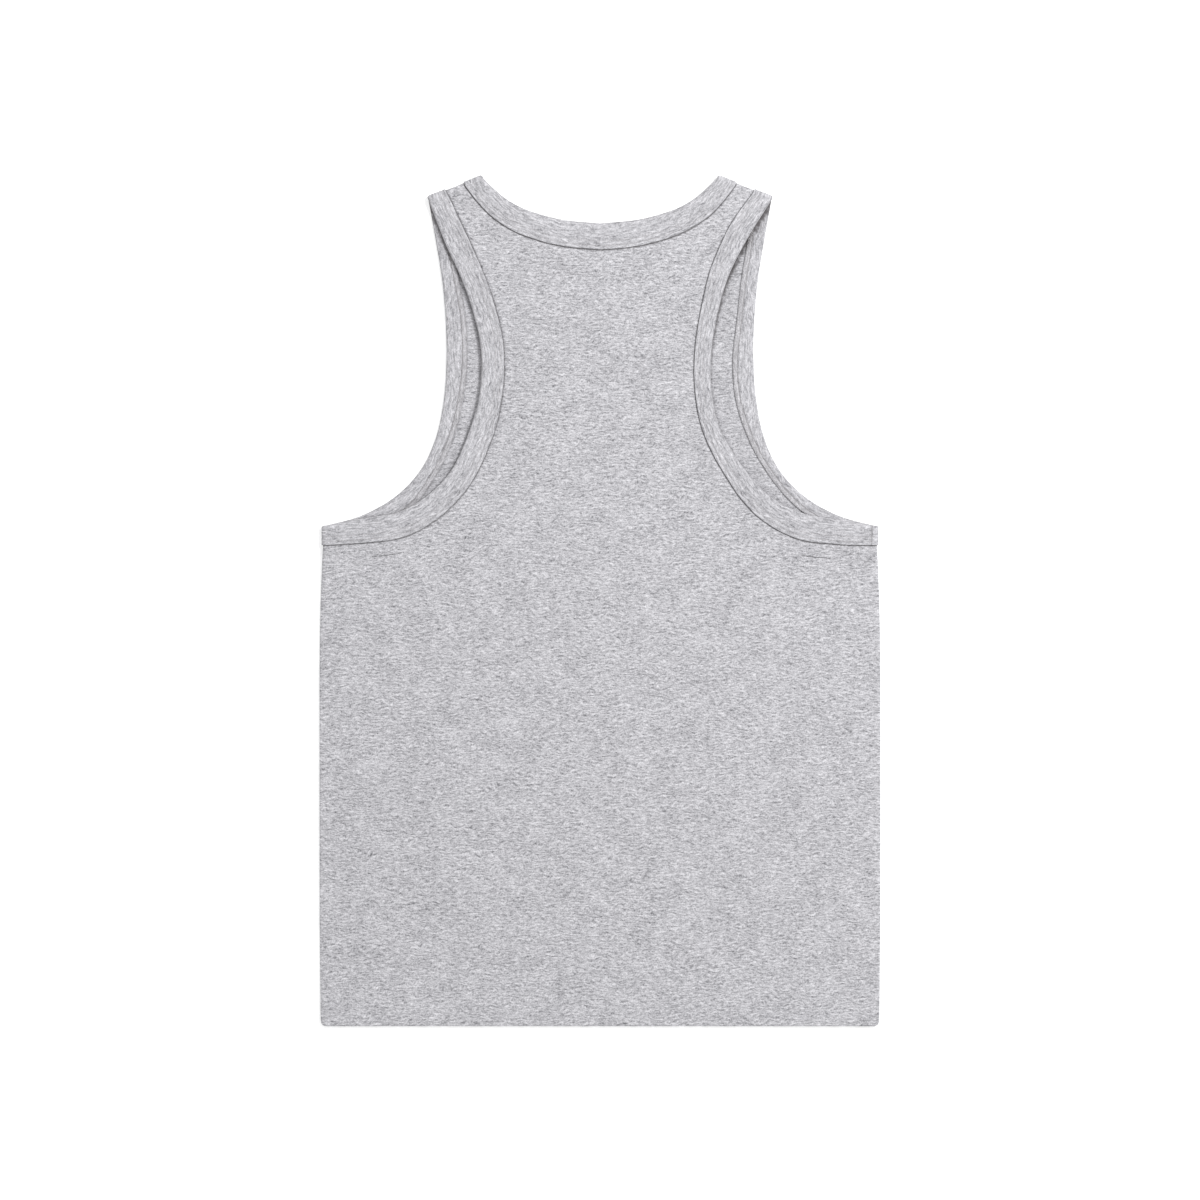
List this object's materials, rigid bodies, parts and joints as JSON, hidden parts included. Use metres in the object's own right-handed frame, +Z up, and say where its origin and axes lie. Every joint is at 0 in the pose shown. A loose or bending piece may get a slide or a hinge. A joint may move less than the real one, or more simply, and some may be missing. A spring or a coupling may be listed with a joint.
{
  "type": "tank top",
  "caption": "Sleeveless jersey tank top laid flat with its back up, with bound scoop neck and deep bound armholes, and a plain turned-up hem.",
  "frame": {"origin": "on the surface that the garment lies on, under the middle of its outline", "axes": "+X across the garment, +Y from the hem to the shoulders, +Z up from the surface, out of the back panel"},
  "size_m": [0.483, 0.7324, 0.0077],
  "materials": {
    "jersey": "heather grey single jersey, matt",
    "binding": "heather grey jersey cut along the course, matt"
  },
  "bodies": {
    "root": {"front_panel": "jersey", "back_panel": "jersey", "neck_band": "binding", "armhole_band_left": "binding", "armhole_band_right": "binding"}
  },
  "joints": []
}
